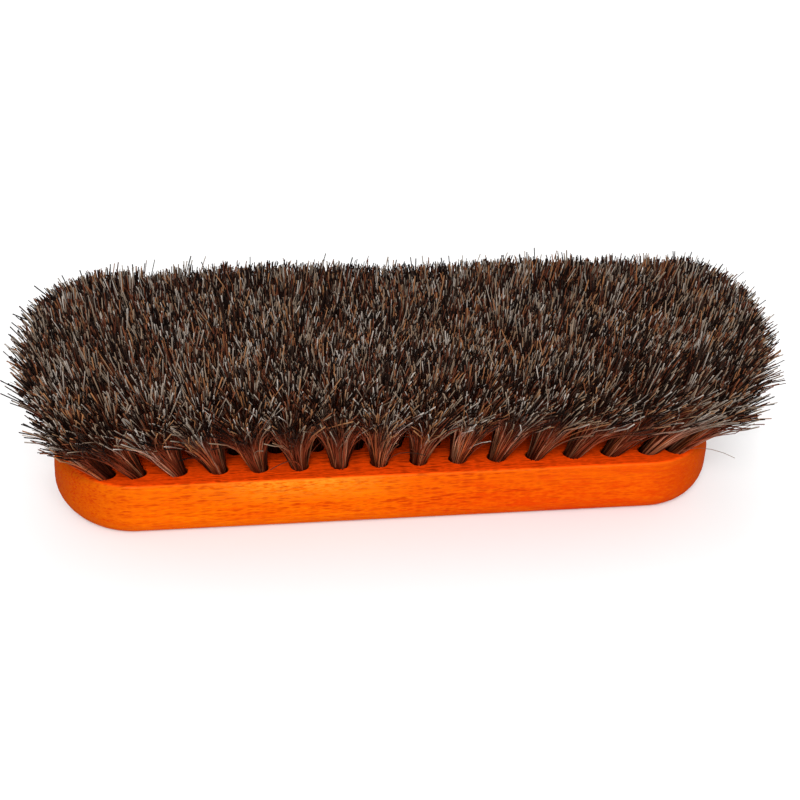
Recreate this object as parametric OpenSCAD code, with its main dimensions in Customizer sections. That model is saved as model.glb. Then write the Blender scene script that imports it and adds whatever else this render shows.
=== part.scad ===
// Shoe shine brush: a lacquered wooden block drilled with five staggered rows of blind
// holes, each holding a tuft of horsehair that a U-shaped wire staple pins by its fold.
// The brush lies on the flat back of its block with the bristles up. X runs along the
// brush, Y across it with the front at -Y, and Z = 0 is the flat back.

/* [Block] */
// Length of the block along X
block_length = 170; // [150:1:190]
// Width of the block along Y
block_width = 48; // [46:1:58]
// Height of the block from its back to its bristle face
block_height = 15; // [14.5:0.5:20]
// Radius of the four corners, seen from above
corner_radius = 20; // [15:1:22]
// Radius of the edge between the bristle face and the long sides
face_edge = 0.8; // [0.4:0.1:1.6]
// Radius of the edge between the back and the long sides
back_edge = 5; // [2:0.5:6]
// Radius of the bristle face's edge at both ends
end_face_edge = 4; // [2:0.5:5]
// Radius of the back's edge at both ends
end_back_edge = 8; // [5:0.5:9]

/* [Drilling] */
// Distance between two holes of a row
hole_pitch = 10; // [9:0.5:12]
// Distance between two rows
row_spacing = 8.75; // [8:0.25:9.25]
// Distance along X from the outermost hole of a row to the block's end on that line
end_margin = 7.3; // [6.5:0.1:9]
// Diameter of a hole
hole_diameter = 4.5; // [4:0.1:5]
// Depth of a hole along its own axis
hole_depth = 9; // [7:0.5:10]
// Lean of the outermost holes towards the ends, in degrees
end_lean = 28; // [10:1:32]
// Lean of the outer rows towards the sides, in degrees
side_lean = 18; // [4:1:20]

/* [Bristles] */
// Length of the bristles above the face
bristle_length = 33.5; // [20:0.5:36]
// Share of the room to the next tuft over which a tuft's tips fan out
fan_share = 0.66; // [0.3:0.02:0.7]
// How much further than the others the strands at the brush's rim bend out
rim_flare = 1.8; // [1:0.1:2.2]
// Difference in length between the longest and the shortest strands
raggedness = 1.6; // [0:0.2:2.4]
// Radius of a strand where it leaves the bundle
strand_root_radius = 0.7; // [0.5:0.05:0.75]
// Radius of a strand near its tip, where it is thickest
strand_tip_radius = 1.25; // [0.8:0.05:1.5]
// Height of the round bundle that stands out of a hole
bundle_height = 1.5; // [1.4:0.1:2.5]
// Depth below the bundle's top at which the strands start
strand_sink = 1.1; // [0.5:0.1:1.3]
// Distance from the strands' feet to the bundle's rim
strand_inset = 0.05; // [0.02:0.01:0.2]

/* [Staples] */
// Thickness of the flat staple wire
wire_thickness = 0.5; // [0.4:0.05:0.7]
// Width of the flat staple wire
wire_width = 0.9; // [0.6:0.1:1.2]
// Room for the folded hair between the staple's crown and the bottom of the hole
fold_room = 1.6; // [1:0.1:2.5]
// Depth to which the staple's legs are driven into the wood
leg_bite = 1.8; // [1:0.1:2.2]

/* [Clearances] */
// Gap between the hair bundle and the wall of its hole
bundle_gap = 0.1; // [0.05:0.05:0.2]
// Gap round a staple
staple_gap = 0.05; // [0.02:0.01:0.1]

/* [Hidden] */

// Rows from front to back, counted from the middle one
FRONT = -2;
SECOND = -1;
MIDDLE = 0;
FOURTH = 1;
BACK = 2;

// Overlap by which a cutter passes a surface
cut = 1;
// Facets of the round solids
block_facets = 96;
hole_facets = 32;

// Gaps at the ends of a row lie between this share of the pitch and the pitch
least_gap = 0.6 * hole_pitch;
usual_end_gap = 0.72 * hole_pitch;

half_length = block_length / 2;
half_width = block_width / 2;
hole_radius = hole_diameter / 2;
bundle_radius = hole_radius - bundle_gap;

// Crown of the staple, measured along the hole's axis from the face
crown_top = -hole_depth + fold_room + wire_thickness;
staple_half_span = bundle_radius;

// Strands start inside the bundle, so that they are one solid with it
strand_start = bundle_height - strand_sink;
strand_ring = bundle_radius - strand_root_radius - strand_inset;
strand_sides = 3;
// Heights of a strand's rings as shares of its length
ring_shares = [0, 0.45, 0.82];
// Directions of a tuft's strands: four outer ones and the one in the middle
strand_directions = [[1, 1], [-1, 1], [-1, -1], [1, -1], [0, 0]];

// Y of a row
function row_y(row) = row * row_spacing;

// Half length of the block on the line of a row, between its rounded corners
function reach(y) =
    let (past = max(0, abs(y) - (half_width - corner_radius)))
    half_length - corner_radius + sqrt(corner_radius * corner_radius - past * past);

// X of a row's holes on the positive side: regular ones, then the ones that share the rest
function right_holes(row) =
    let (
        first = abs(row) % 2 == 1 ? hole_pitch : hole_pitch / 2,
        last = reach(row_y(row)) - end_margin,
        regular = floor((last - least_gap - first) / hole_pitch),
        rest = last - first - regular * hole_pitch,
        extra = max(1, round(rest / usual_end_gap))
    )
    concat([for (i = [0 : regular]) first + i * hole_pitch],
        [for (i = [1 : extra]) first + regular * hole_pitch + i * rest / extra]);

// X of all holes of a row, from left to right
function row_holes(row) =
    let (right = right_holes(row), n = len(right))
    concat([for (i = [n - 1 : -1 : 0]) -right[i]], abs(row) % 2 == 1 ? [0] : [], right);

// Distance from a hole to its nearest neighbour in the row
function room(holes, i) =
    min(i > 0 ? holes[i] - holes[i - 1] : block_length,
        i < len(holes) - 1 ? holes[i + 1] - holes[i] : block_length);

// Leans of a hole towards its end and its side, in degrees
function lean_x(x) = end_lean * x / (half_length - end_margin);
function lean_y(row) = side_lean * row / BACK;

// How much wider apart than the holes the tips stand, along the brush and across it
spread_x = 1 + bristle_length * sin(end_lean / (half_length - end_margin));
spread_y = 1 + bristle_length * sin(side_lean / BACK) / row_spacing;

// How far a tuft's outer tips stand from its axis: further where they face no other tuft
function tip_x(holes, i, direction) =
    direction[0] * fan_share / 2 * room(holes, i) * spread_x
    * (direction[0] * sign(holes[i]) > 0 && (i == 0 || i == len(holes) - 1) ? rim_flare : 1);
function tip_y(row, direction) =
    direction[1] * fan_share / 2 * row_spacing * spread_y
    * (direction[1] * row == BACK ? rim_flare : 1);

// Radii of a strand's rings, slimmer near the tip in tufts that have less room
function ring_radii(slim) =
    [strand_root_radius, (strand_root_radius + slim * strand_tip_radius) / 2, slim * strand_tip_radius];

// Share of the raggedness that a strand loses, alike on both sides of the brush
function shortfall(x, row, direction) =
    let (
        outward = 3 * direction[0] * sign(x) + 5 * direction[1] * sign(row),
        key = 0.618 * (outward + 3.7 * abs(x) / hole_pitch + 0.71 * abs(row))
    )
    key - floor(key);

// Places a child at a hole, with Z along the hole's axis and Z = 0 in the face
module at_hole(x, row) {
    translate([x, row_y(row), block_height])
        rotate([-lean_y(row), lean_x(x), 0])
            children();
}

// Half of a slab's section, from its middle to its rounded side
module half_section(half, top_radius, bottom_radius) {
    difference() {
        square([half, block_height]);
        translate([half - top_radius, block_height - top_radius])
            difference() {
                square(top_radius + cut);
                circle(top_radius, $fn = block_facets);
            }
        translate([half - bottom_radius, -cut])
            difference() {
                square([bottom_radius + cut, bottom_radius + cut]);
                translate([0, bottom_radius + cut])
                    circle(bottom_radius, $fn = block_facets);
            }
    }
}

// Whole section of a slab
module section(half, top_radius, bottom_radius) {
    half_section(half, top_radius, bottom_radius);
    mirror([1, 0])
        half_section(half, top_radius, bottom_radius);
}

// Slab whose section lies across the brush and which runs along X
module slab_along_x(half_run) {
    rotate([90, 0, 90])
        translate([0, 0, -half_run])
            linear_extrude(2 * half_run)
                section(half_width, face_edge, back_edge);
}

// Slab whose section lies along the brush and which runs along Y
module slab_along_y(half_run, top_radius, bottom_radius) {
    rotate([90, 0, 0])
        translate([0, 0, -half_run])
            linear_extrude(2 * half_run)
                section(half_length, top_radius, bottom_radius);
}

// Block with rounded corners and with the side edges' radii all the way round
module rounded_slab() {
    slab_along_x(half_length - corner_radius);
    slab_along_y(half_width - corner_radius, face_edge, back_edge);
    for (turn = [0 : 3])
        translate([(turn == 0 || turn == 3 ? 1 : -1) * (half_length - corner_radius),
            (turn < 2 ? 1 : -1) * (half_width - corner_radius), 0])
            rotate([0, 0, 90 * turn])
                rotate_extrude(angle = 90, $fn = block_facets)
                    half_section(corner_radius, face_edge, back_edge);
}

// Staple with its crown across the hole and its legs in the wood, grown by a gap
module staple_shape(gap) {
    wide = wire_width + 2 * gap;
    thick = wire_thickness + 2 * gap;
    leg_top = crown_top - wire_thickness / 2;
    leg_length = leg_top + hole_depth + leg_bite + gap;
    translate([0, 0, crown_top - wire_thickness / 2])
        cube([2 * (staple_half_span + gap), wide, thick], center = true);
    for (side = [-1, 1])
        translate([side * (staple_half_span - wire_thickness / 2), 0, leg_top - leg_length / 2])
            cube([thick, wide, leg_length], center = true);
}

// Wooden block with its blind holes and the slots that the staples' legs cut
module wooden_block() {
    color([0.93, 0.38, 0.05])
        difference() {
            intersection() {
                rounded_slab();
                slab_along_y(half_width + cut, end_face_edge, end_back_edge);
            }
            for (row = [FRONT : BACK])
                for (x = row_holes(row))
                    at_hole(x, row) {
                        translate([0, 0, -hole_depth])
                            cylinder(h = hole_depth + 3 * cut, r = hole_radius, $fn = hole_facets);
                        for (side = [-1, 1])
                            translate([side * (staple_half_span - wire_thickness / 2), 0, -hole_depth])
                                cube([wire_thickness + 2 * staple_gap, wire_width + 2 * staple_gap,
                                    2 * (leg_bite + staple_gap)], center = true);
                    }
        }
}

// One strand: three-sided, thickest near its pointed tip, bending out from the tuft's axis
module strand(direction, tip, length, slim) {
    root = direction * strand_ring / sqrt(2);
    start_angle = direction == [0, 0] ? 0 : atan2(direction[1], direction[0]);
    rings = len(ring_shares);
    radii = ring_radii(slim);
    points = concat(
        [for (k = [0 : rings - 1])
            let (share = ring_shares[k], centre = root + (tip - root) * pow(share, 1.2))
            for (side = [0 : strand_sides - 1])
                let (angle = start_angle + side * 360 / strand_sides)
                [centre[0] + radii[k] * cos(angle), centre[1] + radii[k] * sin(angle),
                    strand_start + share * (length - strand_start)]],
        [[tip[0], tip[1], length]]);
    walls = [for (k = [0 : rings - 2]) for (side = [0 : strand_sides - 1])
        let (a = k * strand_sides + side, b = k * strand_sides + (side + 1) % strand_sides)
        for (face = [[a, a + strand_sides, b], [b, a + strand_sides, b + strand_sides]]) face];
    last = (rings - 1) * strand_sides;
    point = [for (side = [0 : strand_sides - 1])
        [last + side, rings * strand_sides, last + (side + 1) % strand_sides]];
    polyhedron(points, concat([[0, 1, 2]], walls, point));
}

// One tuft: the round bundle in its hole, notched for the staple, and its strands
module tuft(holes, i, row) {
    difference() {
        translate([0, 0, -hole_depth + staple_gap])
            cylinder(h = hole_depth - staple_gap + bundle_height, r = bundle_radius, $fn = hole_facets);
        staple_shape(staple_gap);
    }
    for (direction = strand_directions)
        strand(direction, [tip_x(holes, i, direction), tip_y(row, direction)],
            bristle_length - raggedness * shortfall(holes[i], row, direction),
            min(1, room(holes, i) / hole_pitch));
}

module tuft_row(row) {
    holes = row_holes(row);
    color([0.27, 0.21, 0.17])
        for (i = [0 : len(holes) - 1])
            at_hole(holes[i], row)
                tuft(holes, i, row);
}

module staple_row(row) {
    color([0.75, 0.75, 0.78])
        for (x = row_holes(row))
            at_hole(x, row)
                staple_shape(0);
}

wooden_block();
tuft_row(FRONT);  // front_tufts
tuft_row(SECOND);  // second_tufts
tuft_row(MIDDLE);  // middle_tufts
tuft_row(FOURTH);  // fourth_tufts
tuft_row(BACK);  // back_tufts
staple_row(FRONT);  // front_staples
staple_row(SECOND);  // second_staples
staple_row(MIDDLE);  // middle_staples
staple_row(FOURTH);  // fourth_staples
staple_row(BACK);  // back_staples
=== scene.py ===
"""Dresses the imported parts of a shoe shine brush: lacquered block, horsehair tufts, staples and stage."""

import math

import bmesh
import bpy
import numpy as np
from bpy.props import EnumProperty, FloatProperty, FloatVectorProperty, IntProperty, PointerProperty
from mathutils import Matrix, Vector


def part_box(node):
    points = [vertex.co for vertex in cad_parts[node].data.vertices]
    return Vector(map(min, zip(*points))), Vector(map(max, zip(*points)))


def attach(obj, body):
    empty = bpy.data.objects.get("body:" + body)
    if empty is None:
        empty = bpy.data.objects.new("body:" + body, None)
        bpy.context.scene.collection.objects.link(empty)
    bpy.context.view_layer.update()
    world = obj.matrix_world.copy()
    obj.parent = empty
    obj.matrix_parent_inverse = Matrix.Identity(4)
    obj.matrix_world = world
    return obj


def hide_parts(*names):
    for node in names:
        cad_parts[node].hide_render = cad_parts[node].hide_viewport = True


bl_info = {
    "name": "Shoe shine brush",
    "version": (1, 0, 0),
    "blender": (4, 5, 0),
    "location": "3D View > Sidebar > Shine Brush",
    "description": "Makes the block and the hair tufts of a shoe shine brush, and sets its stage",
    "category": "Object",
}

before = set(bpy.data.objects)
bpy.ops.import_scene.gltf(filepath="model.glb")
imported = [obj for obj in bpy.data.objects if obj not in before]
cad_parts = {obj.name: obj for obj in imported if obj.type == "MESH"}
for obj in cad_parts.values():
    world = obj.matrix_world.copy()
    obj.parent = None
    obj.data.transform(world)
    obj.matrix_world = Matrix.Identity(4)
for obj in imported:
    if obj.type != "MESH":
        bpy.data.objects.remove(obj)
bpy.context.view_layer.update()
BLOCK_LOW, BLOCK_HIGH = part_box("wooden_block")
BODY = "root"
MM = 0.001

# Rows of tufts from front to back, counted from the middle one
ROWS = {"front": -2, "second": -1, "middle": 0, "fourth": 1, "back": 2}

# Map of a hair's faces: across it runs the hair's shade, and up it the painted light, low where painted
# shade falls deep in the tuft
HAIR_MAP = "OFBake"

# Point attribute of the block: where the painted highlight lies over the face's edge
EDGE_GLINT = "edge_glint"

# Shares of a hole and of a tuft's tips that the hairs' roots and the locks' middles take up
ROOT_ROOM = 0.8
LOCK_ROOM = 0.95

# Random scatter of the locks' tips and of the hairs' slopes, over the tuft's radius
LOCK_SCATTER = 0.10
SLOPE_SCATTER = 0.08

# Share of the hairs that are cut shorter, and the share of its length that such a hair loses
CUT_HAIRS = 0.10
CUT_LOSS = (0, 0.3)

# Share of the hairs that stand out, and the share of its length that such a hair gains
LONG_HAIRS = 0.03
LONG_GAIN = (0.03, 0.07)

# Share of its length that a stray keeps, and its thickness over the other hairs'
STRAY_LENGTH = (0.5, 0.95)
STRAY_THICKNESS = 0.7

# Range of the hairs' thicknesses over the usual one, and how much thinner a tip is than its root
THICKNESS_RANGE = (0.7, 1.35)
TAPER = 0.2

# Part of the map's width that the shades take up, and where it starts
SHADE_BAND = 0.94
SHADE_START = 0.02

# How much painted light a root loses to painted shade deep in the tuft, and how much less where it faces
# open air
DEEP_SHADE = 0.99
OPEN_AIR_LIGHT = 0.5


class BlockSizes(bpy.types.PropertyGroup):
    """Sizes and colours of the wooden block: lacquer, painted highlight and painted shade."""

    length: FloatProperty(
        name="Length",
        description="Length of the block along X",
        default=BLOCK_HIGH.x - BLOCK_LOW.x,
        unit="LENGTH",
    )
    width: FloatProperty(
        name="Width",
        description="Width of the block along Y",
        default=BLOCK_HIGH.y - BLOCK_LOW.y,
        unit="LENGTH",
    )
    height: FloatProperty(
        name="Height",
        description="Height from the flat back to the bristle face",
        default=BLOCK_HIGH.z - BLOCK_LOW.z,
        unit="LENGTH",
    )
    corner_radius: FloatProperty(
        name="Corner radius",
        description="Radius of the four corners, seen from above",
        default=20 * MM,
        unit="LENGTH",
    )
    face_edge: FloatProperty(
        name="Face edge",
        description="Radius of the edge between the bristle face and the long sides",
        default=0.8 * MM,
        unit="LENGTH",
    )
    back_edge: FloatProperty(
        name="Back edge",
        description="Radius of the edge between the back and the long sides",
        default=5 * MM,
        unit="LENGTH",
    )
    end_face_edge: FloatProperty(
        name="End face edge",
        description="Radius of the bristle face's edge at both ends",
        default=4 * MM,
        unit="LENGTH",
    )
    end_back_edge: FloatProperty(
        name="End back edge",
        description="Radius of the back's edge at both ends",
        default=8 * MM,
        unit="LENGTH",
    )
    lacquer: FloatVectorProperty(
        name="Lacquer",
        description="Colour of the lacquered wood on the sides",
        default=(0.63, 0.126, 0.0005),
        subtype="COLOR",
    )
    deep_lacquer: FloatVectorProperty(
        name="Deep lacquer",
        description="Colour of the streaks where the lacquer lies deeper",
        default=(0.50, 0.037, 0.0005),
        subtype="COLOR",
    )
    # Painted highlight along the face's edge
    edge_highlight: FloatVectorProperty(
        name="Edge lacquer",
        description="Colour of the face's edge, where the lacquer is thin",
        default=(0.74, 0.300, 0.020),
        subtype="COLOR",
    )
    # Place round which the painted highlight near the face is strongest
    highlight_place: FloatProperty(
        name="Thin place",
        description="Place along X round which the lacquer lies thinnest near the face",
        default=-25 * MM,
        unit="LENGTH",
    )
    # Painted shade of the bristles makes the face redder, and painted light makes it brighter than the
    # sides
    face_shaded_lacquer: FloatVectorProperty(
        name="Face lacquer",
        description="Colour of the bristle face",
        default=(1.0, 0.072, 0.002),
        subtype="COLOR",
    )
    # End grain, and painted shade where the ends turn away from the light
    end_grain_and_shade: FloatVectorProperty(
        name="End lacquer",
        description="Colour of the end grain, which drinks more lacquer",
        default=(0.31, 0.042, 0.001),
        subtype="COLOR",
    )
    ray_colour: FloatVectorProperty(
        name="Rays",
        description="Colour of the short dark rays in the wood",
        default=(0.36, 0.022, 0.0005),
        subtype="COLOR",
    )


class DrillingSizes(bpy.types.PropertyGroup):
    """Pattern of the holes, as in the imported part."""

    pitch: FloatProperty(
        name="Hole pitch",
        description="Distance between two holes of a row",
        default=10 * MM,
        unit="LENGTH",
    )
    row_spacing: FloatProperty(
        name="Row spacing",
        description="Distance between two rows",
        default=8.75 * MM,
        unit="LENGTH",
    )
    end_margin: FloatProperty(
        name="End margin",
        description="Distance from the outermost hole of a row to the block's end on that line",
        default=7.3 * MM,
        unit="LENGTH",
    )
    radius: FloatProperty(
        name="Hole radius",
        description="Radius of a hole",
        default=2.25 * MM,
        unit="LENGTH",
    )
    depth: FloatProperty(
        name="Hole depth",
        description="Depth of a hole along its own axis",
        default=9 * MM,
        unit="LENGTH",
    )
    rim: FloatProperty(
        name="Rim",
        description="Radius to which the lacquer rounds a hole's rim",
        default=0.25 * MM,
        unit="LENGTH",
    )
    end_lean: FloatProperty(
        name="End lean",
        description="Lean of the outermost holes towards the ends",
        default=math.radians(28),
        subtype="ANGLE",
    )
    side_lean: FloatProperty(
        name="Side lean",
        description="Lean of the outer rows towards the sides",
        default=math.radians(18),
        subtype="ANGLE",
    )


class HairSizes(bpy.types.PropertyGroup):
    """Sizes, numbers and shares of the hair."""

    trim_height: FloatProperty(
        name="Trim height",
        description="Height above the face at which the tips are trimmed level",
        default=31.5 * MM,
        unit="LENGTH",
    )
    longest: FloatProperty(
        name="Longest",
        description="Length that the leaning hairs have at most",
        default=33.8 * MM,
        unit="LENGTH",
    )
    front_wear: FloatProperty(
        name="Front wear",
        description="How much shorter the front row's hairs are worn, and how much longer the back row's",
        default=1.2 * MM,
        unit="LENGTH",
    )
    middle_wear: FloatProperty(
        name="Middle wear",
        description="How much lower the tips are worn at the middle of the length",
        default=2.0 * MM,
        unit="LENGTH",
    )
    wear_reach: FloatProperty(
        name="Wear reach",
        description="Distance along X over which that wear falls off",
        default=26 * MM,
        unit="LENGTH",
    )
    side_reach: FloatProperty(
        name="Side reach",
        description="Distance from the middle, along Y, that no hair passes",
        default=41.3 * MM,
        unit="LENGTH",
    )
    end_reach: FloatProperty(
        name="End reach",
        description="Distance from the middle, along X, that no hair passes",
        default=104 * MM,
        unit="LENGTH",
    )
    soft_reach: FloatProperty(
        name="Soft reach",
        description="Last part of either reach, over which the hairs bend off",
        default=4 * MM,
        unit="LENGTH",
    )
    unevenness: FloatProperty(
        name="Unevenness",
        description="Spread of the lengths among the hairs of a tuft",
        default=0.7 * MM,
        unit="LENGTH",
    )
    tuft_unevenness: FloatProperty(
        name="Tuft unevenness",
        description="Spread of the trim heights among the tufts",
        default=1.0 * MM,
        unit="LENGTH",
    )
    root_depth: FloatProperty(
        name="Root depth",
        description="Depth below the face from which the hairs are made",
        default=2 * MM,
        unit="LENGTH",
    )
    thickness: FloatProperty(
        name="Thickness",
        description="Usual thickness of a hair",
        default=0.35 * MM,
        unit="LENGTH",
    )
    per_tuft: IntProperty(
        name="Hairs in a tuft",
        description="Number of hairs in each tuft",
        default=420,
    )
    locks: IntProperty(
        name="Locks in a tuft",
        description="Number of locks into which the hairs of a tuft gather",
        default=60,
    )
    gathering: FloatProperty(
        name="Gathering",
        description="How far the tips move towards the middle of their lock",
        default=0.25,
        subtype="FACTOR",
    )
    patchiness: FloatProperty(
        name="Patchiness",
        description="Share of the hairs that take the shade of their lock",
        default=0.6,
        subtype="FACTOR",
    )
    overlap: FloatProperty(
        name="Overlap",
        description="Width of a tuft's tips over the distance between two tufts' tips",
        default=1.3,
        subtype="FACTOR",
    )
    end_lean: FloatProperty(
        name="End lean",
        description="Lean of the outermost tufts' hair towards the ends",
        default=math.radians(25.5),
        subtype="ANGLE",
    )
    side_lean: FloatProperty(
        name="Side lean",
        description="Lean of the outer rows' hair towards the sides",
        default=math.radians(28),
        subtype="ANGLE",
    )
    end_flare: FloatProperty(
        name="End flare",
        description="Reach of the tips at the ends, where they face no other tuft, over their usual reach",
        default=0.25,
        subtype="FACTOR",
    )
    front_corner_flare: FloatProperty(
        name="Front corner flare",
        description="The same for the front row's last tufts, which face no other tuft on two sides",
        default=0.45,
        subtype="FACTOR",
    )
    back_corner_flare: FloatProperty(
        name="Back corner flare",
        description="The same for the back row's last tufts",
        default=1.95,
        subtype="FACTOR",
    )
    front_flare: FloatProperty(
        name="Front flare",
        description="Reach of the front row's tips, where they face no other tuft, over their usual reach",
        default=0.85,
        subtype="FACTOR",
    )
    back_flare: FloatProperty(
        name="Back flare",
        description="The same for the back row's tips",
        default=0.425,
        subtype="FACTOR",
    )
    neck: FloatProperty(
        name="Neck",
        description="Power with which a tuft opens towards its tips: 1 opens evenly, and more opens late",
        default=1.6,
    )
    bow: FloatProperty(
        name="Bow",
        description="Spread of the random bows at half a hair's length",
        default=0.5 * MM,
        unit="LENGTH",
    )
    lock_bend: FloatProperty(
        name="Lock bend",
        description="Spread of the random bends that the tips of a lock share",
        default=1.12 * MM,
        unit="LENGTH",
    )
    bend: FloatProperty(
        name="Bend",
        description="Spread of the random bends of the single tips",
        default=2.56 * MM,
        unit="LENGTH",
    )
    stray_bend: FloatProperty(
        name="Stray bend",
        description="Spread of the random bends of the strays' tips, beside the other bends",
        default=2.5 * MM,
        unit="LENGTH",
    )
    strays: FloatProperty(
        name="Strays",
        description="Share of short hairs that bend out of their tuft",
        default=0.03,
        subtype="FACTOR",
    )
    sweep: FloatProperty(
        name="Sweep",
        description="Distance along X by which use has brushed the tips over the middle row",
        default=3.2 * MM,
        unit="LENGTH",
    )
    sweep_growth: FloatProperty(
        name="Sweep growth",
        description="How fast the sweep grows towards the far side",
        default=0.12,
        subtype="FACTOR",
    )
    seed: IntProperty(
        name="Seed",
        description="Number from which all random values of the hair follow",
        default=7,
    )


class StageSettings(bpy.types.PropertyGroup):
    """Camera, light and floor."""

    azimuth: FloatProperty(
        name="Azimuth",
        description="Angle of the camera round the brush, from the front towards the right",
        default=math.radians(-11.46),
        subtype="ANGLE",
    )
    elevation: FloatProperty(
        name="Elevation",
        description="Angle of the camera above the floor",
        default=math.radians(28.81),
        subtype="ANGLE",
    )
    roll: FloatProperty(
        name="Roll",
        description="Turn of the camera about its own line of sight",
        default=math.radians(3.38),
        subtype="ANGLE",
    )
    distance: FloatProperty(
        name="Distance",
        description="Distance from the camera to the point that it looks at",
        default=436.7 * MM,
        unit="LENGTH",
    )
    aim: FloatVectorProperty(
        name="Aim",
        description="Point that the camera looks at",
        default=(2.95 * MM, 0, 22.75 * MM),
        subtype="TRANSLATION",
        unit="LENGTH",
    )
    lens: FloatProperty(
        name="Lens",
        description="Focal length in millimetres on a sensor 36 mm wide",
        default=76.23,
    )
    floor_colour: FloatVectorProperty(
        name="Floor",
        description="Colour of the pale floor",
        default=(0.75, 0.75, 0.75),
        subtype="COLOR",
    )
    floor_glow: FloatProperty(
        name="Floor glow",
        description="Strength of the floor's own light",
        default=0.1,
    )
    sky: FloatProperty(
        name="Sky",
        description="Strength of the even white sky",
        default=0.78,
    )


class ShineBrush(bpy.types.PropertyGroup):
    """All settings of the shoe shine brush."""

    block: PointerProperty(type=BlockSizes, name="Block", description="Wooden block")
    drilling: PointerProperty(type=DrillingSizes, name="Drilling", description="Pattern of the holes")
    hair: PointerProperty(type=HairSizes, name="Hair", description="Horsehair tufts")
    stage: PointerProperty(type=StageSettings, name="Stage", description="Camera, light and floor")


# Pattern of the holes


def row_holes(row, block, drilling):
    """X of a row's holes: every pitch from the middle, with the rest up to the margin shared at both ends.

    The rows next to the middle one have a hole at X = 0, and the others start half a pitch from it. The
    regular holes leave a rest of at least 0.6 pitches, which is shared by holes about 0.72 pitches apart.
    """
    least_rest = 0.6 * drilling.pitch
    close_pitch = 0.72 * drilling.pitch
    y = abs(row) * drilling.row_spacing
    past = max(0.0, y - (block.width / 2 - block.corner_radius))
    reach = block.length / 2 - block.corner_radius + math.sqrt(block.corner_radius**2 - past**2)
    odd = row % 2 == 1
    first = drilling.pitch if odd else drilling.pitch / 2
    last = reach - drilling.end_margin
    regular = math.floor((last - least_rest - first) / drilling.pitch)
    rest = last - first - regular * drilling.pitch
    extra = max(1, round(rest / close_pitch))
    evenly = first + drilling.pitch * np.arange(regular + 1)
    shared = evenly[-1] + rest / extra * np.arange(1, extra + 1)
    right = np.concatenate((evenly, shared))
    return np.concatenate((-right[::-1], [0.0] if odd else [], right))


def hole_frames(x, row, block, drilling, end_lean, side_lean):
    """Mouth centre of each hole of a row, and three axes there.

    The third axis points out of the face: it leans along X in proportion to X and along Y in proportion
    to the row's number. The first two stand square to it.
    """
    lean_x = end_lean * x / (block.length / 2 - drilling.end_margin)
    lean_y = np.full_like(x, side_lean * row / max(ROWS.values()))
    sx, cx = np.sin(lean_x), np.cos(lean_x)
    sy, cy = np.sin(lean_y), np.cos(lean_y)
    zero = np.zeros_like(x)
    mouth = np.stack((x, zero + row * drilling.row_spacing, zero + block.height), -1)
    along = np.stack((cx, zero, -sx), -1)
    across = np.stack((-sy * sx, cy, -sy * cx), -1)
    out = np.stack((cy * sx, sy, cy * cx), -1)
    return mouth, np.stack((along, across, out), 1)


# Meshes


def tube_faces(rings, sides):
    """Quads of a tube: corner (ring, side) joins (ring + 1, side) and the next side, which wraps round."""
    ring, side = np.meshgrid(np.arange(rings - 1), np.arange(sides), indexing="ij")
    after = (side + 1) % sides
    low, high = ring * sides, (ring + 1) * sides
    return np.stack((low + side, low + after, high + after, high + side), -1).reshape(-1, 4)


def new_piece(name, points, faces):
    """Mesh object of that name at the origin, which rides with the brush."""
    mesh = bpy.data.meshes.new(name)
    mesh.from_pydata(points, [], faces, shade_flat=False)
    piece = bpy.data.objects.new(name, mesh)
    bpy.context.scene.collection.objects.link(piece)
    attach(piece, BODY)
    return piece


def plan_outline(block, corner_steps=24, long_steps=28, short_steps=6):
    """Points and outward normals round the block, seen from above.

    Each corner is an arc, its centre plus the radius times (cos, sin), and each side runs straight from
    the end of one arc to the start of the next.
    """
    radius = block.corner_radius
    reach = np.array((block.length / 2 - radius, block.width / 2 - radius))
    signs = np.array(((1, 1), (-1, 1), (-1, -1), (1, -1)))
    points, normals = [], []
    for turn, steps in enumerate((long_steps, short_steps, long_steps, short_steps)):
        angle = (turn + np.linspace(0, 1, corner_steps + 1)) * math.pi / 2
        normal = np.stack((np.cos(angle), np.sin(angle)), -1)
        arc = signs[turn] * reach + radius * normal
        share = np.arange(1, steps)[:, None] / steps
        side = arc[-1] + share * (signs[(turn + 1) % 4] * reach + radius * normal[-1] - arc[-1])
        points += [arc, side]
        normals += [normal, np.repeat(normal[-1:], steps - 1, 0)]
    return np.concatenate(points), np.concatenate(normals)


def block_shell(block, edge_steps=10, wall_steps=4):
    """Rings of the block's outer wall from the face's edge to the back's edge, and each ring's painted
    highlight.

    A ring is the outline moved inwards by an inset. Over an edge of radius r the inset is r (1 - sin a) and
    the drop r (1 - cos a), with a from 0 to 90 degrees. The radii grow from the long sides to the ends with
    the square of the normal's X. The painted highlight is sin 2a over the face's edge, and nothing
    elsewhere.
    """
    outline, normals = plan_outline(block)
    towards_end = normals[:, 0] ** 2
    upper = block.face_edge + (block.end_face_edge - block.face_edge) * towards_end
    lower = block.back_edge + (block.end_back_edge - block.back_edge) * towards_end
    a = np.linspace(0, math.pi / 2, edge_steps + 1)[:, None]
    top_z = block.height - upper * (1 - np.cos(a))
    low_z = lower * (1 - np.sin(a))
    share = np.arange(1, wall_steps)[:, None] / wall_steps
    wall_z = top_z[-1] + share * (low_z[0] - top_z[-1])
    z = np.concatenate((top_z, wall_z, low_z))
    inset = np.concatenate((upper * (1 - np.sin(a)), 0 * wall_z, lower * (1 - np.cos(a))))
    plan = outline[None] - normals[None] * inset[..., None]
    # Painted highlight of each ring: sin 2a over the face's edge, nothing elsewhere
    wear = np.concatenate((np.sin(2 * a[:, 0]), np.zeros(len(z) - len(a))))
    return np.concatenate((plan, z[..., None]), -1), wear


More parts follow.
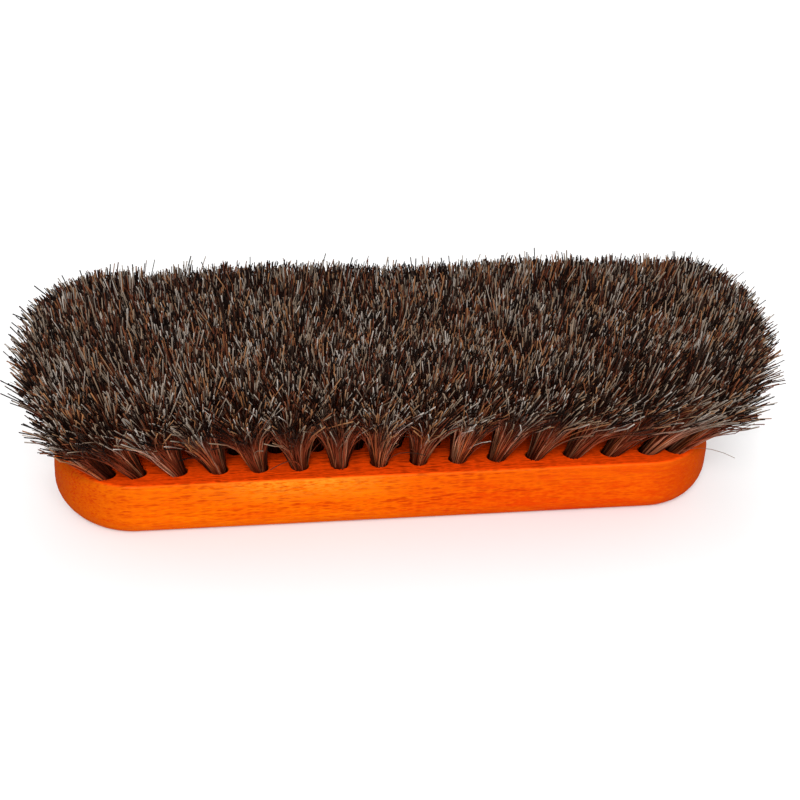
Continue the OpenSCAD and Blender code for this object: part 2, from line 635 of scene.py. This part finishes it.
def hole_walls(mouth, axes, drilling, sides=28, rim_steps=4):
    """Rings of the holes, from the rim in the face to the bottom, for all holes at once.

    A level cut through a leaning hole is a circle stretched along the lean, so each ring is that ellipse,
    grown by r (1 - sin a) at the drop r (1 - cos a) over the rim and shifted back along the hole's axis.
    The level depth is that of the holes that lean most, the cosine of their lean times the depth.
    """
    angle = np.linspace(0, 2 * math.pi, sides, endpoint=False)
    a = np.linspace(0, math.pi / 2, rim_steps + 1)
    grown = drilling.rim * (1 - np.sin(a))
    drop = drilling.rim * (1 - np.cos(a))
    level_depth = 0.88 * drilling.depth
    deep = np.linspace(drilling.rim, level_depth, 4)[1:]
    grown = np.concatenate((grown, 0 * deep))
    drop = np.concatenate((drop, deep))
    out = axes[:, 2]
    circle = (
        np.cos(angle)[None, :, None] * axes[:, None, 0] + np.sin(angle)[None, :, None] * axes[:, None, 1]
    )
    level = circle - out[:, None] * (circle[..., 2:] / out[:, None, 2:])
    rings = level[:, None] * (drilling.radius + grown)[None, :, None, None]
    shift = out[:, None] * (drop[None, :, None] / out[:, None, 2:])
    return mouth[:, None, None] + rings - shift[:, :, None]


def wooden_block(block, drilling):
    """The block as one closed mesh: outer wall, drilled face, holes and flat back."""
    shell, wear = block_shell(block)
    rings, around = shell.shape[:2]
    points = [shell.reshape(-1, 3)]
    faces = [tube_faces(rings, around)]
    caps = []
    start = rings * around
    for row in ROWS.values():
        x = row_holes(row, block, drilling)
        mouth, axes = hole_frames(x, row, block, drilling, drilling.end_lean, drilling.side_lean)
        walls = hole_walls(mouth, axes, drilling)
        holes, levels, sides = walls.shape[:3]
        first = start + np.arange(holes)[:, None, None] * levels * sides
        faces.append((first + tube_faces(levels, sides)[None]).reshape(-1, 4))
        caps.append(first[..., 0] + (levels - 1) * sides + np.arange(sides))
        points.append(walls.reshape(-1, 3))
        start += holes * levels * sides
    faces = np.concatenate(faces).tolist() + [cap for row in caps for cap in row.tolist()]
    points = np.concatenate(points)
    piece = new_piece("lacquered_block", points.tolist(), faces)
    mesh = piece.data
    # Painted highlight of each point, which the lacquer reads as the edge attribute
    worn = np.zeros(len(points), np.float32)
    worn[: rings * around] = np.repeat(wear, around)
    mesh.attributes.new(EDGE_GLINT, "FLOAT", "POINT").data.foreach_set("value", worn)
    solid = bmesh.new()
    solid.from_mesh(mesh)
    for high in (True, False):
        rim = [e for e in solid.edges if e.is_boundary and (e.verts[0].co.z > block.height / 2) == high]
        filled = bmesh.ops.triangle_fill(solid, use_beauty=True, edges=rim)
        for face in filled["geom"]:
            if isinstance(face, bmesh.types.BMFace):
                face.smooth = False
    bmesh.ops.recalc_face_normals(solid, faces=solid.faces)
    solid.to_mesh(mesh)
    solid.free()
    return piece


# Hair


def spread_points(count, random):
    """Points spread evenly over a unit disc: radius sqrt(k / count), each turned on by the golden angle."""
    k = np.arange(count) + 0.5
    radius = np.sqrt(k / count)
    angle = k * math.pi * (3 - math.sqrt(5)) + random.uniform(0, 2 * math.pi)
    return np.stack((radius * np.cos(angle), radius * np.sin(angle)), -1)


def chance(random, spread, shape):
    """Random values with that spread round zero, none of them more than twice the spread."""
    return spread * np.clip(random.normal(0, 1, shape), -2, 2)


def held_in(values, limit, soft):
    """Values that bend off softly before a limit: the last part s grows only by s tanh(excess / s)."""
    excess = np.maximum(np.abs(values) - (limit - soft), 0)
    return np.sign(values) * (np.minimum(np.abs(values), limit - soft) + soft * np.tanh(excess / soft))


def hair_paths(hair, tuft, random, shares):
    """Points of a tuft's hairs, the lock of each hair, how openly it lies, and which hairs are strays.

    A hair goes from its place in the hole to its tip. Its slope over the tuft's own lean is its place times
    the spread, and it moves off that lean by t to the power of the neck, so the tuft opens slowly. The tips
    are trimmed level, so a hair is as long as the trim height over the cosine of its lean, but never longer
    than the longest. A bow of sin(pi t) and a bend of t^3, both random, make it a natural hair, and the
    hairs of a lock share a part of their bend. A stray is short and bends over by t^2. The sweep along X
    grows with sin(pi t / 2) and with Y, and no hair passes the end reach or the side reach.
    """
    count = hair.per_tuft
    place = spread_points(count, random)
    locks = spread_points(hair.locks, random) * LOCK_ROOM
    lock = np.argmin(((place[:, None] - locks[None]) ** 2).sum(-1), 1)
    lock_tips = locks + chance(random, LOCK_SCATTER, locks.shape)
    slope = place + hair.gathering * (lock_tips[lock] - place) + chance(random, SLOPE_SCATTER, place.shape)
    open_side = np.clip((slope * tuft["outward"]).sum(-1), 0, 1)
    flare = np.where(slope * tuft["outward"] > 0, 1 + tuft["flare"] * np.abs(tuft["outward"]), 1.0)
    towards = np.concatenate((slope * tuft["spread"] * flare / hair.trim_height, np.ones((count, 1))), -1)
    towards = towards / np.linalg.norm(towards, axis=-1, keepdims=True) @ tuft["lean_axes"]

    stray = random.random(count) < hair.strays
    trim = tuft["trim"] + chance(random, hair.tuft_unevenness, 1)
    length = np.minimum(trim / towards[:, 2], tuft["longest"]) + chance(random, hair.unevenness, count)
    length *= 1 - np.where(random.random(count) < CUT_HAIRS, random.uniform(*CUT_LOSS, count), 0)
    length *= 1 + np.where(random.random(count) < LONG_HAIRS, random.uniform(*LONG_GAIN, count), 0)
    length *= np.where(stray, random.uniform(*STRAY_LENGTH, count), 1)
    tip = tuft["mouth"] + towards * length[:, None]

    root = np.concatenate((place * tuft["radius"] * ROOT_ROOM, np.full((count, 1), -hair.root_depth)), -1)
    root = tuft["mouth"] + root @ tuft["hole_axes"]
    t = shares[:, None]
    way = tip - root
    straight = (way @ tuft["lean_axes"][2])[:, None] * tuft["lean_axes"][2]
    paths = root[:, None] + straight[:, None] * t + (way - straight)[:, None] * t**hair.neck
    bow = chance(random, hair.bow, (count, 1, 2)) * np.sin(math.pi * t)
    shared_bend = chance(random, hair.lock_bend, (hair.locks, 2))[lock]
    bend = (shared_bend + chance(random, hair.bend, (count, 2)))[:, None]
    stray_bend = chance(random, hair.stray_bend, (count, 1, 2)) * stray[:, None, None]
    paths += (bow + bend * t**3 + stray_bend * t**2) @ tuft["lean_axes"][:2]
    sweep = hair.sweep + hair.sweep_growth * tip[:, 1]
    paths[..., 0] += sweep[:, None] * np.sin(math.pi / 2 * shares)
    paths[..., 0] = held_in(paths[..., 0], hair.end_reach, hair.soft_reach)
    paths[..., 1] = held_in(paths[..., 1], hair.side_reach, hair.soft_reach)
    return paths, lock, open_side, stray


def tubes_along(paths, radii, random, sides=3):
    """Corners of thin tubes round the paths: (hair, ring, side, xyz).

    Each ring stands square to the path there, and all rings of a hair start from the same side of it.
    """
    along = np.gradient(paths, axis=1)
    along /= np.linalg.norm(along, axis=-1, keepdims=True)
    side = random.normal(0, 1, (len(paths), 1, 3))
    first = side - (side * along).sum(-1, keepdims=True) * along
    first /= np.linalg.norm(first, axis=-1, keepdims=True)
    second = np.cross(along, first)
    angle = np.linspace(0, 2 * math.pi, sides, endpoint=False)[:, None]
    circle = np.cos(angle) * first[:, :, None] + np.sin(angle) * second[:, :, None]
    return paths[:, :, None] + circle * radii[:, :, None, None]


def tuft_mesh_parts(rings, shade, painted_light):
    """Points, faces and map corners of a tuft of hairs, whose cut ends are flat.

    Each hair spans a narrow strip of the map, which starts at its shade along U, and V is its painted
    light.
    """
    count, levels, sides = rings.shape[:3]
    first = np.arange(count)[:, None, None] * levels * sides
    quads = (first + tube_faces(levels, sides)[None]).reshape(-1, 4)
    side = np.arange(sides)
    ends = (first + np.stack((side[::-1], (levels - 1) * sides + side))[None]).reshape(-1, sides)

    strip = 1 / 128
    across = np.broadcast_to((0, strip, strip, 0), (count, levels - 1, sides, 4))
    across = across + shade[:, None, None, None]
    low, high = painted_light[:, :-1], painted_light[:, 1:]
    upward = np.broadcast_to(np.stack((low, low, high, high), -1)[:, :, None], across.shape)
    quad_map = np.stack((across, upward), -1).reshape(-1, 2)
    across = np.linspace(0, strip, sides) + shade[:, None, None]
    upward = painted_light[:, (0, -1), None] - np.where(side % 2, strip, 0)
    end_map = np.stack(np.broadcast_arrays(across, upward), -1).reshape(-1, 2)
    faces = quads.tolist() + ends.tolist()
    return rings.reshape(-1, 3), faces, np.concatenate((quad_map, end_map))


def row_tufts(row, block, drilling, hair):
    """Facts of each tuft of a row: its hole, and the lean, length, spread and flare of its hair.

    The tips of two tufts stand further apart than their holes by the trim height times the difference of
    their leans. The middle wear falls off from the middle of the length as exp(-(x / reach)^2). The outward
    pair says where the tuft faces no other one, along X and along Y.
    """
    x = row_holes(row, block, drilling)
    mouth, hole_axes = hole_frames(x, row, block, drilling, drilling.end_lean, drilling.side_lean)
    lean_axes = hole_frames(x, row, block, drilling, hair.end_lean, hair.side_lean)[1]
    gaps = np.diff(x)
    room = np.minimum(np.append(gaps, gaps[-1]), np.append(gaps[0], gaps))
    outer = max(ROWS.values())
    grow_x = 1 + hair.trim_height * hair.end_lean / (block.length / 2 - drilling.end_margin)
    tip_room = drilling.row_spacing + hair.trim_height * hair.side_lean / outer
    last = len(x) - 1
    at_side = abs(row) == outer
    end_flare = hair.end_flare
    if at_side:
        end_flare = hair.back_corner_flare if row > 0 else hair.front_corner_flare
    return [
        {
            "mouth": mouth[i],
            "hole_axes": hole_axes[i],
            "lean_axes": lean_axes[i],
            "radius": drilling.radius,
            "trim": hair.trim_height - hair.middle_wear * math.exp(-((x[i] / hair.wear_reach) ** 2)),
            "longest": hair.longest + hair.front_wear * row / outer,
            "spread": hair.overlap / 2 * np.array((room[i] * grow_x, tip_room)),
            "outward": np.array((float(i == last) - float(i == 0), row / outer if at_side else 0.0)),
            "flare": np.array((end_flare, hair.front_flare if row < 0 else hair.back_flare)) - 1,
        }
        for i in range(len(x))
    ]


def hair_tuft(name, node, tuft, hair, seed, material):
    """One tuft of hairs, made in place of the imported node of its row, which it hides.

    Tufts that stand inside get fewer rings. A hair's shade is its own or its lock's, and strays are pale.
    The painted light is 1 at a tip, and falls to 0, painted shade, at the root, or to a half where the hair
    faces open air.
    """
    random = np.random.default_rng(seed)
    outer_shares = (0, 0.10, 0.24, 0.40, 0.56, 0.72, 0.87, 1.0)
    inner_shares = (0, 0.36, 0.62, 0.82, 1.0)
    shares = np.array(outer_shares if tuft["outward"].any() else inner_shares)
    paths, lock, open_side, stray = hair_paths(hair, tuft, random, shares)
    thick = hair.thickness / 2 * random.uniform(*THICKNESS_RANGE, hair.per_tuft)
    thick *= np.where(stray, STRAY_THICKNESS, 1.0)
    radii = thick[:, None] * (1 - TAPER * shares**2)
    shade = random.random(hair.per_tuft)
    as_lock = random.random(hair.per_tuft) < hair.patchiness
    shade = np.where(as_lock, random.random(hair.locks)[lock], shade)
    shade = SHADE_START + SHADE_BAND * np.where(stray, (1 + shade) / 2, shade)
    # Painted shade: the map's V falls deep in the tuft and towards the root
    painted_light = 1 - (1 - shares) * (DEEP_SHADE - OPEN_AIR_LIGHT * np.where(stray, 1, open_side)[:, None])
    points, faces, corners = tuft_mesh_parts(tubes_along(paths, radii, random), shade, painted_light)
    piece = new_piece(name, points.tolist(), faces)
    piece.data.uv_layers.new(name=HAIR_MAP).data.foreach_set("uv", corners.astype(np.float32).ravel())
    piece.data.materials.append(material)
    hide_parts(node)
    return piece


# Materials


def add_node(tree, kind, inputs=None, **settings):
    """New node of that kind. Each input takes a value, or a socket that is linked to it."""
    made = tree.nodes.new(kind)
    for key, value in settings.items():
        setattr(made, key, value)
    for key, value in (inputs or {}).items():
        if isinstance(value, bpy.types.NodeSocket):
            tree.links.new(value, made.inputs[key])
        else:
            made.inputs[key].default_value = value
    return made


def new_material(name, **shader_inputs):
    """Material with one Principled shader, whose inputs take these values."""
    material = bpy.data.materials.new(name)
    material.use_nodes = True
    shader = material.node_tree.nodes["Principled BSDF"]
    for key, value in shader_inputs.items():
        shader.inputs[key.replace("_", " ")].default_value = value
    return material, material.node_tree, shader


def set_ramp(ramp, stops, interpolation="LINEAR"):
    """Gives a colour ramp these (place, colour) stops."""
    ramp.interpolation = interpolation
    while len(ramp.elements) < len(stops):
        ramp.elements.new(1.0)
    for element, (place, colour) in zip(ramp.elements, stops):
        element.position = place
        element.color = (*colour, 1.0)


def mixed_colour(tree, factor, first, second, blend="MIX"):
    """Colour between two colours or sockets, by a factor socket."""
    node = add_node(tree, "ShaderNodeMix", data_type="RGBA", blend_type=blend)
    for socket, value in ((node.inputs[0], factor), (node.inputs[6], first), (node.inputs[7], second)):
        if isinstance(value, bpy.types.NodeSocket):
            tree.links.new(value, socket)
        elif isinstance(value, float):
            socket.default_value = value
        else:
            socket.default_value = (*value, 1.0)
    return node.outputs[2]


def ranged(tree, value, low, high, out_low=0.0, out_high=1.0):
    """Value socket mapped from one range to another, and kept inside it."""
    inputs = {"Value": value, "From Min": low, "From Max": high, "To Min": out_low, "To Max": out_high}
    return add_node(tree, "ShaderNodeMapRange", inputs).outputs["Result"]


def stretched_noise(tree, place, scale, detail=2.0, roughness=0.5):
    """Noise over a coordinate socket, with about that many features to its unit along each axis."""
    mapping = add_node(tree, "ShaderNodeMapping", {"Vector": place, "Scale": scale})
    inputs = {"Vector": mapping.outputs["Vector"], "Scale": 1.0, "Detail": detail, "Roughness": roughness}
    return add_node(tree, "ShaderNodeTexNoise", inputs).outputs["Fac"]


def computed(tree, operation, *values):
    """Result of a math node, whose values are sockets or numbers."""
    return add_node(tree, "ShaderNodeMath", dict(enumerate(values)), operation=operation).outputs[0]


def added(tree, first, second):
    """Sum of two value sockets."""
    return computed(tree, "ADD", first, second)


def multiplied(tree, first, second):
    """Product of two value sockets."""
    return computed(tree, "MULTIPLY", first, second)


def flecks(tree, place, cells, size, share):
    """Mask of long flecks: one in the middle of each stretched cell, and only in a share of the cells."""
    mapping = add_node(tree, "ShaderNodeMapping", {"Vector": place, "Scale": cells})
    cell = add_node(tree, "ShaderNodeTexVoronoi", {"Vector": mapping.outputs["Vector"], "Scale": 1.0})
    near = ranged(tree, cell.outputs["Distance"], size * 0.5, size, 1.0, 0.0)
    pick = add_node(tree, "ShaderNodeSeparateColor", {"Color": cell.outputs["Color"]}).outputs["Red"]
    return multiplied(tree, near, ranged(tree, pick, share - 0.1, share + 0.1, 1.0, 0.0))


def lacquered_wood(block):
    """Orange lacquer over beech: clouds, long streaks, short dark rays, a face with painted shade and
    light, ends darker by end grain and painted shade, and a painted edge highlight.
    """
    material, tree, shader = new_material("lacquered_beech", Coat_Weight=0.03, Coat_Roughness=0.12)
    shader.inputs["Specular IOR Level"].default_value = 0.0
    place = add_node(tree, "ShaderNodeTexCoord").outputs["Object"]
    split = add_node(tree, "ShaderNodeSeparateXYZ", {"Vector": place})
    clouds = stretched_noise(tree, place, (26, 120, 120), 2.0)
    streaks = stretched_noise(tree, place, (75, 1000, 1000), 4.0, 0.65)
    mottle = stretched_noise(tree, place, (650, 2600, 2600), 2.0, 0.6)

    # Depth of the lacquer: clouds, streaks and mottle; and darker towards the right end
    depth = added(tree, streaks, ranged(tree, clouds, 0.0, 1.0, 0.0, 0.6))
    depth = added(tree, depth, ranged(tree, mottle, 0.0, 1.0, 0.0, 0.8))
    depth = added(tree, depth, ranged(tree, split.outputs["X"], -10 * MM, block.length / 2, 0.0, 0.42))
    colour = mixed_colour(tree, ranged(tree, depth, 0.85, 1.6), block.lacquer, block.deep_lacquer)

    # Face redder with the bristles' painted shade and brighter with painted light; ends browner with end
    # grain and painted shade
    on_face = ranged(tree, split.outputs["Z"], block.height - 0.5 * MM, block.height - 0.05 * MM)
    redder = ranged(tree, multiplied(tree, streaks, mottle), 0.12, 0.40, 0.0, 0.6)
    face = mixed_colour(tree, redder, block.face_shaded_lacquer, block.ray_colour)
    colour = mixed_colour(tree, on_face, colour, face)
    from_middle = computed(tree, "ABSOLUTE", split.outputs["X"])
    # Darker ends: end grain and painted shade
    at_end = ranged(tree, from_middle, block.length / 2 - 22 * MM, block.length / 2, 0.0, 0.85)
    at_end = multiplied(tree, at_end, ranged(tree, on_face, 0.0, 1.0, 1.0, 0.4))
    colour = mixed_colour(tree, at_end, colour, block.end_grain_and_shade)

    # Dark rays, fainter near the back and towards the right end
    long_rays = flecks(tree, place, (260, 1900, 1900), 0.56, 0.45)
    short_rays = flecks(tree, place, (520, 3000, 3000), 0.56, 0.5)
    rays = added(tree, long_rays, ranged(tree, short_rays, 0.0, 1.0, 0.0, 0.7))
    rayed = multiplied(tree, rays, ranged(tree, clouds, 0.4, 0.6, 0.55, 0.9))
    rayed = multiplied(tree, rayed, ranged(tree, split.outputs["Z"], 2.5 * MM, 7 * MM, 0.3, 1.0))
    rayed = multiplied(tree, rayed, ranged(tree, split.outputs["X"], 0.0, block.length / 2, 1.0, 0.4))
    colour = mixed_colour(tree, rayed, colour, block.ray_colour)

    # Painted golden highlight on the face's edge and, mottled, just under it, most of all round the
    # highlight place
    # worn carries the painted highlight along the face's edge
    worn = add_node(tree, "ShaderNodeAttribute", attribute_name=EDGE_GLINT).outputs["Fac"]
    from_highlight = computed(tree, "ABSOLUTE", computed(tree, "SUBTRACT", split.outputs["X"], block.highlight_place))
    highlight_falloff = ranged(tree, from_highlight, 8 * MM, 28 * MM, 1.0, 0.1)
    worn = multiplied(tree, ranged(tree, worn, 0.6, 1.0), ranged(tree, highlight_falloff, 0.0, 1.0, 0.1, 0.2))
    near_face = ranged(tree, split.outputs["Z"], block.height - 7 * MM, block.height - 1 * MM, 0.0, 0.5)
    highlit = multiplied(tree, near_face, highlight_falloff)
    highlit = multiplied(tree, highlit, ranged(tree, on_face, 0.0, 1.0, 1.0, 0.0))
    # Mottled painted highlight on the side just under the face, and less of it at the ends
    worn = added(tree, worn, multiplied(tree, highlit, ranged(tree, mottle, 0.35, 0.6)))
    worn = multiplied(tree, worn, ranged(tree, at_end, 0.0, 0.5, 1.0, 0.1))
    colour = mixed_colour(tree, worn, colour, block.edge_highlight)

    tree.links.new(colour, shader.inputs["Base Color"])
    tree.links.new(ranged(tree, streaks, 0.3, 0.7, 0.24, 0.38), shader.inputs["Roughness"])
    groove = {"Height": rays, "Strength": 0.2, "Distance": 0.1 * MM}
    bump = add_node(tree, "ShaderNodeBump", groove, invert=True)
    tree.links.new(bump.outputs["Normal"], shader.inputs["Normal"])
    return material


def mixed_horsehair():
    """Mixed horsehair: the map's U gives a hair's shade; its V paints shade deep inside the tufts, and
    painted and bounce light over the necks.
    """
    material, tree, shader = new_material("mixed_horsehair", Roughness=0.6)
    shader.inputs["Specular IOR Level"].default_value = 0.04
    corners = add_node(tree, "ShaderNodeUVMap", uv_map=HAIR_MAP).outputs["UV"]
    split = add_node(tree, "ShaderNodeSeparateXYZ", {"Vector": corners})
    ramp = add_node(tree, "ShaderNodeValToRGB", {"Fac": split.outputs["X"]})
    stops = (
        (0.00, (0.003, 0.001, 0.0005)),
        (0.36, (0.008, 0.003, 0.002)),
        (0.50, (0.034, 0.018, 0.012)),
        (0.60, (0.085, 0.022, 0.010)),
        (0.67, (0.150, 0.050, 0.022)),
        (0.71, (0.250, 0.110, 0.044)),
        (0.76, (0.190, 0.130, 0.085)),
        (0.88, (0.220, 0.175, 0.138)),
        (1.00, (0.480, 0.430, 0.390)),
    )
    set_ramp(ramp.color_ramp, stops)

    # Painted orange bounce light from the lacquered face: warmer towards the root, and redder over the neck
    bounce_lit = ranged(tree, split.outputs["Y"], 0.55, 0.95, 1.0, 0.0)
    bounce_warmed = mixed_colour(tree, bounce_lit, ramp.outputs["Color"], (1.0, 0.58, 0.36), "MULTIPLY")
    # Painted bounce light: a red glow over the neck
    bounce_red = ranged(tree, split.outputs["Y"], 0.5, 0.7, 0.25, 0.55)
    bounce_red = multiplied(tree, bounce_red, ranged(tree, split.outputs["Y"], 0.72, 0.93, 1.0, 0.0))
    tinted = mixed_colour(tree, bounce_red, bounce_warmed, (0.190, 0.031, 0.010))

    # Painted shade and light: darker deep inside the tuft and in the hole, painted brighter over the open
    # neck; uneven along the hair as its own tone
    painted_light_and_tone = ranged(tree, split.outputs["Y"], 0.0, 0.6, 0.1, 1.0)
    # Painted light: the open neck's hair up to 2.2 times brighter
    painted_light_and_tone = multiplied(tree, painted_light_and_tone, ranged(tree, bounce_lit, 0.0, 1.0, 1.0, 2.2))
    # Painted shade just over the hole
    painted_light_and_tone = multiplied(tree, painted_light_and_tone, ranged(tree, split.outputs["Y"], 0.5, 0.64, 0.4, 1.0))
    uneven = stretched_noise(tree, corners, (90, 7, 1), 1.0)
    painted_light_and_tone = multiplied(tree, painted_light_and_tone, ranged(tree, uneven, 0.3, 0.7, 0.6, 1.15))
    grey = add_node(tree, "ShaderNodeCombineColor", {"Red": painted_light_and_tone, "Green": painted_light_and_tone, "Blue": painted_light_and_tone})
    colour = mixed_colour(tree, 1.0, tinted, grey.outputs["Color"], "MULTIPLY")
    tree.links.new(colour, shader.inputs["Base Color"])
    return material


def staple_wire():
    """Bright drawn wire with fine lines along it."""
    material, tree, shader = new_material("bright_wire", Metallic=1.0)
    shader.inputs["Base Color"].default_value = (0.72, 0.72, 0.74, 1.0)
    place = add_node(tree, "ShaderNodeTexCoord").outputs["Object"]
    lines = stretched_noise(tree, place, (400, 6000, 6000), 2.0)
    tree.links.new(ranged(tree, lines, 0.3, 0.7, 0.25, 0.45), shader.inputs["Roughness"])
    return material


def floor_paint(stage):
    """Pale matt floor, which glows a little as a light table does."""
    material, tree, shader = new_material("pale_floor", Roughness=0.9, Emission_Strength=stage.floor_glow)
    shader.inputs["Base Color"].default_value = (*stage.floor_colour, 1.0)
    shader.inputs["Emission Color"].default_value = (1.0, 1.0, 1.0, 1.0)
    return material


# Operators


class SHINEBRUSH_OT_block(bpy.types.Operator):
    """Make the lacquered wooden block with its drilled holes"""

    bl_idname = "shinebrush.block"
    bl_label = "Make block"

    def execute(self, context):
        brush = context.scene.shine_brush
        piece = wooden_block(brush.block, brush.drilling)
        piece.data.materials.append(lacquered_wood(brush.block))
        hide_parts("wooden_block")
        return {"FINISHED"}


class SHINEBRUSH_OT_tufts(bpy.types.Operator):
    """Make one row of horsehair tufts"""

    bl_idname = "shinebrush.tufts"
    bl_label = "Make row of tufts"

    row: EnumProperty(
        name="Row",
        description="Row of the block, counted from its front",
        items=[(name, name.capitalize(), f"The {name} row") for name in ROWS],
    )

    def execute(self, context):
        brush = context.scene.shine_brush
        row = ROWS[self.row]
        material = bpy.data.materials.get("mixed_horsehair") or mixed_horsehair()
        tufts = row_tufts(row, brush.block, brush.drilling, brush.hair)
        for number, tuft in enumerate(tufts, start=1):
            seed = brush.hair.seed * 10000 + (row + 2) * 100 + number
            name = f"{self.row}_tuft_{number:02d}"
            hair_tuft(name, f"{self.row}_tufts", tuft, brush.hair, seed, material)
        return {"FINISHED"}


class SHINEBRUSH_OT_staples(bpy.types.Operator):
    """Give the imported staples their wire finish"""

    bl_idname = "shinebrush.staples"
    bl_label = "Finish staples"

    def execute(self, context):
        wire = staple_wire()
        for name in ROWS:
            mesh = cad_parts[f"{name}_staples"].data
            mesh.materials.clear()
            mesh.materials.append(wire)
        return {"FINISHED"}


class SHINEBRUSH_OT_stage(bpy.types.Operator):
    """Set the floor, the soft lights and the camera"""

    bl_idname = "shinebrush.stage"
    bl_label = "Set stage"

    def execute(self, context):
        stage = context.scene.shine_brush.stage
        lay_floor(stage)
        hang_lights(context.scene, stage)
        place_camera(context.scene, stage)
        context.scene.view_settings.view_transform = "Standard"
        return {"FINISHED"}


# Stage


def lay_floor(stage, half=3.0, below=0.1 * MM):
    """Square floor just below the block's back, so that the two never lie in one plane."""
    mesh = bpy.data.meshes.new("floor")
    corners = [(half * x, half * y, -below) for x, y in ((-1, -1), (1, -1), (1, 1), (-1, 1))]
    mesh.from_pydata(corners, [], [(0, 1, 2, 3)])
    floor = bpy.data.objects.new("floor", mesh)
    bpy.context.scene.collection.objects.link(floor)
    mesh.materials.append(floor_paint(stage))


def soft_light(scene, name, place, size, power):
    """White square area light that faces the middle of the brush."""
    light = bpy.data.lights.new(name, "AREA")
    light.shape = "SQUARE"
    light.size = size
    light.energy = power
    lamp = bpy.data.objects.new(name, light)
    lamp.location = place
    middle = Vector((0, 0, 20 * MM))
    lamp.rotation_euler = (middle - Vector(place)).to_track_quat("-Z", "Y").to_euler()
    scene.collection.objects.link(lamp)


def hang_lights(scene, stage):
    """Key light from the upper front, weaker fill and back lights, and an even white sky."""
    soft_light(scene, "key", (-0.25, -0.95, 0.75), 0.35, 13)
    soft_light(scene, "fill", (0.3, -1.1, 0.55), 0.5, 4)
    soft_light(scene, "back", (0.1, 0.9, 0.9), 0.6, 3)
    world = bpy.data.worlds.new("pale_sky")
    world.use_nodes = True
    background = world.node_tree.nodes["Background"]
    background.inputs["Color"].default_value = (1.0, 1.0, 1.0, 1.0)
    background.inputs["Strength"].default_value = stage.sky
    scene.world = world


def place_camera(scene, stage):
    """Camera at its distance from the aim, at its azimuth and elevation, rolled about its line of sight."""
    a, e = stage.azimuth, stage.elevation
    back = Vector((math.sin(a) * math.cos(e), -math.cos(a) * math.cos(e), math.sin(e)))
    right = Vector((math.cos(a), math.sin(a), 0))
    up = back.cross(right)
    turn = Matrix((right, up, back)).transposed() @ Matrix.Rotation(stage.roll, 3, "Z")
    data = bpy.data.cameras.new("camera")
    data.lens = stage.lens
    data.sensor_width = 36
    data.clip_start = 0.01
    camera = bpy.data.objects.new("camera", data)
    camera.matrix_world = Matrix.Translation(Vector(stage.aim) + back * stage.distance) @ turn.to_4x4()
    scene.collection.objects.link(camera)
    scene.camera = camera


class SHINEBRUSH_PT_panel(bpy.types.Panel):
    """Lists the settings and the operators of the shoe shine brush"""

    bl_idname = "SHINEBRUSH_PT_panel"
    bl_label = "Shoe shine brush"
    bl_space_type = "VIEW_3D"
    bl_region_type = "UI"
    bl_category = "Shine Brush"

    def draw(self, context):
        brush = context.scene.shine_brush
        for group in (brush.block, brush.drilling, brush.hair, brush.stage):
            box = self.layout.box()
            for name in group.bl_rna.properties.keys():
                if name not in ("rna_type", "name"):
                    box.prop(group, name)
        self.layout.operator("shinebrush.block")
        for name in ROWS:
            self.layout.operator("shinebrush.tufts", text=f"Make {name} tufts").row = name
        self.layout.operator("shinebrush.staples")
        self.layout.operator("shinebrush.stage")


CLASSES = (
    BlockSizes,
    DrillingSizes,
    HairSizes,
    StageSettings,
    ShineBrush,
    SHINEBRUSH_OT_block,
    SHINEBRUSH_OT_tufts,
    SHINEBRUSH_OT_staples,
    SHINEBRUSH_OT_stage,
    SHINEBRUSH_PT_panel,
)


def register():
    for cls in CLASSES:
        bpy.utils.register_class(cls)
    bpy.types.Scene.shine_brush = PointerProperty(
        type=ShineBrush, name="Shoe shine brush", description="Settings of the shoe shine brush"
    )


def unregister():
    del bpy.types.Scene.shine_brush
    for cls in reversed(CLASSES):
        bpy.utils.unregister_class(cls)


def main():
    register()
    bpy.ops.shinebrush.block()
    for name in ROWS:
        bpy.ops.shinebrush.tufts(row=name)
    bpy.ops.shinebrush.staples()
    bpy.ops.shinebrush.stage()


if __name__ == "__main__":
    main()
